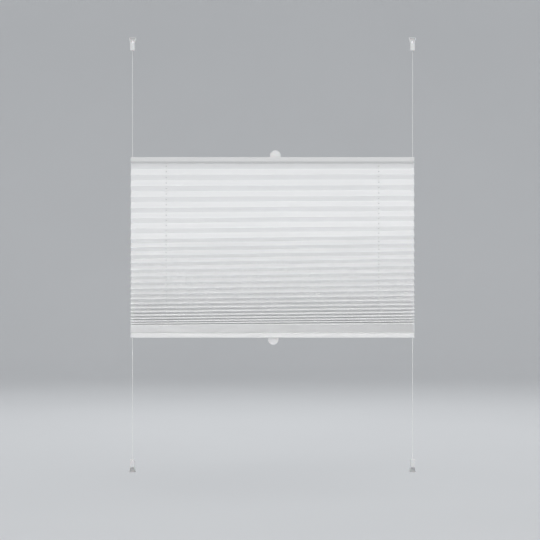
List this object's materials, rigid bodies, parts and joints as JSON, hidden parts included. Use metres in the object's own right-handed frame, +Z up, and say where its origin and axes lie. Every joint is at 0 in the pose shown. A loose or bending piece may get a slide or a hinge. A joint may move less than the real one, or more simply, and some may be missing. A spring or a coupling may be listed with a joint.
{
  "type": "pleated blind",
  "caption": "Tensioned pleated blind: a folded white sheet between two rails that slide on cords stretched between screwed brackets, opening from the top and the bottom.",
  "frame": {"origin": "middle of the four mounting screws, on the plane that the brackets' backs stand against", "axes": "+X to the right seen from the room, +Y towards the window, +Z up"},
  "size_m": [0.8116, 0.035, 1.2294],
  "materials": {
    "pleat_fabric": "woven polyester with pressed creases",
    "painted_aluminium": "satin white powder coat",
    "white_plastic": "satin",
    "inner_plastic": "satin",
    "cord_fibre": "braided polyester",
    "screw_steel": "zinc plated",
    "spring_steel": "bright"
  },
  "bodies": {
    "brackets_and_cords": {"bracket_lower_left": "white_plastic", "bracket_lower_right": "white_plastic", "bracket_screw_lower_left": "screw_steel", "bracket_screw_lower_right": "screw_steel", "bracket_screw_upper_left": "screw_steel", "bracket_screw_upper_right": "screw_steel", "bracket_upper_left": "white_plastic", "bracket_upper_right": "white_plastic", "cord_bead_lower_left": "inner_plastic", "cord_bead_lower_right": "inner_plastic", "cord_bead_upper_left": "inner_plastic", "cord_bead_upper_right": "inner_plastic", "pleated_fabric": "pleat_fabric", "tension_cord_left": "cord_fibre", "tension_cord_right": "cord_fibre", "tension_shoe_lower_left": "inner_plastic", "tension_shoe_lower_right": "inner_plastic", "tension_shoe_upper_left": "inner_plastic", "tension_shoe_upper_right": "inner_plastic"},
    "upper_rail_set": {"spring_end_left": "inner_plastic", "spring_end_right": "inner_plastic", "tension_spring": "spring_steel", "upper_cord_guide_left": "inner_plastic", "upper_cord_guide_right": "inner_plastic", "upper_end_cap_left": "white_plastic", "upper_end_cap_right": "white_plastic", "upper_fabric_strip": "inner_plastic", "upper_pull_tab": "white_plastic", "upper_rail": "painted_aluminium"},
    "lower_rail_set": {"lower_cord_guide_left": "inner_plastic", "lower_cord_guide_right": "inner_plastic", "lower_end_cap_left": "white_plastic", "lower_end_cap_right": "white_plastic", "lower_fabric_strip": "inner_plastic", "lower_pull_tab": "white_plastic", "lower_rail": "painted_aluminium"}
  },
  "joints": [
    {"name": "upper_rail_slide", "type": "slide", "parent": "brackets_and_cords", "child": "upper_rail_set", "axis": [0, 0, 1], "range_m": [-0.24, 0.3], "deforming": ["pleated_fabric", "tension_cord_left", "tension_cord_right"]},
    {"name": "lower_rail_slide", "type": "slide", "parent": "brackets_and_cords", "child": "lower_rail_set", "axis": [0, 0, 1], "range_m": [-0.343, 0.14], "deforming": ["pleated_fabric", "tension_cord_left", "tension_cord_right"]}
  ]
}
